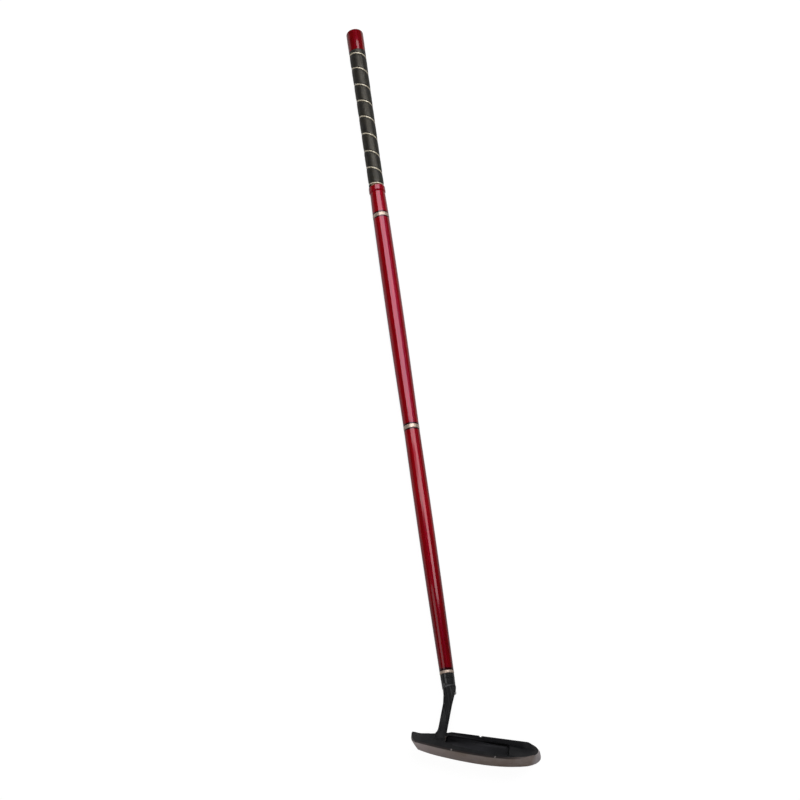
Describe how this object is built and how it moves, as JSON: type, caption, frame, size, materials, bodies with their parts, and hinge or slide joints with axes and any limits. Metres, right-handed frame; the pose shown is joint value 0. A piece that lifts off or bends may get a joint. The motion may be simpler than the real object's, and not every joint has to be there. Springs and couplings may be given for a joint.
{
  "type": "mini golf putter",
  "caption": "Take-apart mini golf putter: heel-toe weighted black blade head on an offset neck, red lacquered screw-jointed shaft with brass rings and a spiral-wrapped grip.",
  "frame": {"origin": "middle of the striking face, in its plane", "axes": "+Y along the shaft towards the butt, +Z out of the back of the head (the putter lies face down on z = 0), +X towards the toe side"},
  "size_m": [0.1179, 0.8593, 0.027],
  "materials": {
    "black_casting": "black satin paint, with the sole and toe wall ground to bare grey metal",
    "black_plastic": "glossy black",
    "steel": "bare turned steel",
    "ring_brass": "polished pale brass",
    "socket_brass": "turned brass",
    "red_lacquered_wood": "deep red gloss lacquer over fine grain",
    "underlay_paper": "plain wound paper",
    "black_wrap": "black, finely pebbled",
    "gold_piping": "gold-coloured cord"
  },
  "bodies": {
    "head": {"head_casting": "black_casting", "hosel_ferrule": "black_plastic", "hosel_sleeve": "steel"},
    "lower_ring": {"lower_ring": "ring_brass"},
    "lower_section": {"lower_shaft": "red_lacquered_wood", "lower_stud": "steel", "middle_socket": "socket_brass"},
    "middle_ring": {"middle_ring": "ring_brass"},
    "middle_section": {"middle_shaft": "red_lacquered_wood", "middle_stud": "steel", "upper_socket": "socket_brass"},
    "upper_ring": {"upper_ring": "ring_brass"},
    "grip_section": {"grip_shaft": "red_lacquered_wood", "upper_stud": "steel", "grip_collar": "red_lacquered_wood", "grip_underlay": "underlay_paper", "grip_wrap": "black_wrap", "grip_piping": "gold_piping", "butt_cap": "red_lacquered_wood"}
  },
  "joints": [
    {"name": "lower_joint_travel", "type": "slide", "parent": "head", "child": "lower_ring", "axis": [0, 1, 0], "range_m": [0, 0.0064]},
    {"name": "lower_joint_turn", "type": "hinge", "parent": "lower_ring", "child": "lower_section", "pos_m": [-0.0172, 0.07397, 0.00985], "axis": [0, 1, 0], "range_deg": [0, 1440]},
    {"name": "middle_joint_travel", "type": "slide", "parent": "lower_section", "child": "middle_ring", "axis": [0, 1, 0], "range_m": [0, 0.008]},
    {"name": "middle_joint_turn", "type": "hinge", "parent": "middle_ring", "child": "middle_section", "pos_m": [-0.0172, 0.32897, 0.00985], "axis": [0, 1, 0], "range_deg": [0, 1440]},
    {"name": "upper_joint_travel", "type": "slide", "parent": "middle_section", "child": "upper_ring", "axis": [0, 1, 0], "range_m": [0, 0.008]},
    {"name": "upper_joint_turn", "type": "hinge", "parent": "upper_ring", "child": "grip_section", "pos_m": [-0.0172, 0.58397, 0.00985], "axis": [0, 1, 0], "range_deg": [0, 1440]}
  ],
  "couplings": [
    {"joint": "lower_joint_turn", "follows": "lower_joint_travel", "rad_per_m": 3927},
    {"joint": "middle_joint_turn", "follows": "middle_joint_travel", "rad_per_m": 3141.6},
    {"joint": "upper_joint_turn", "follows": "upper_joint_travel", "rad_per_m": 3141.6}
  ]
}
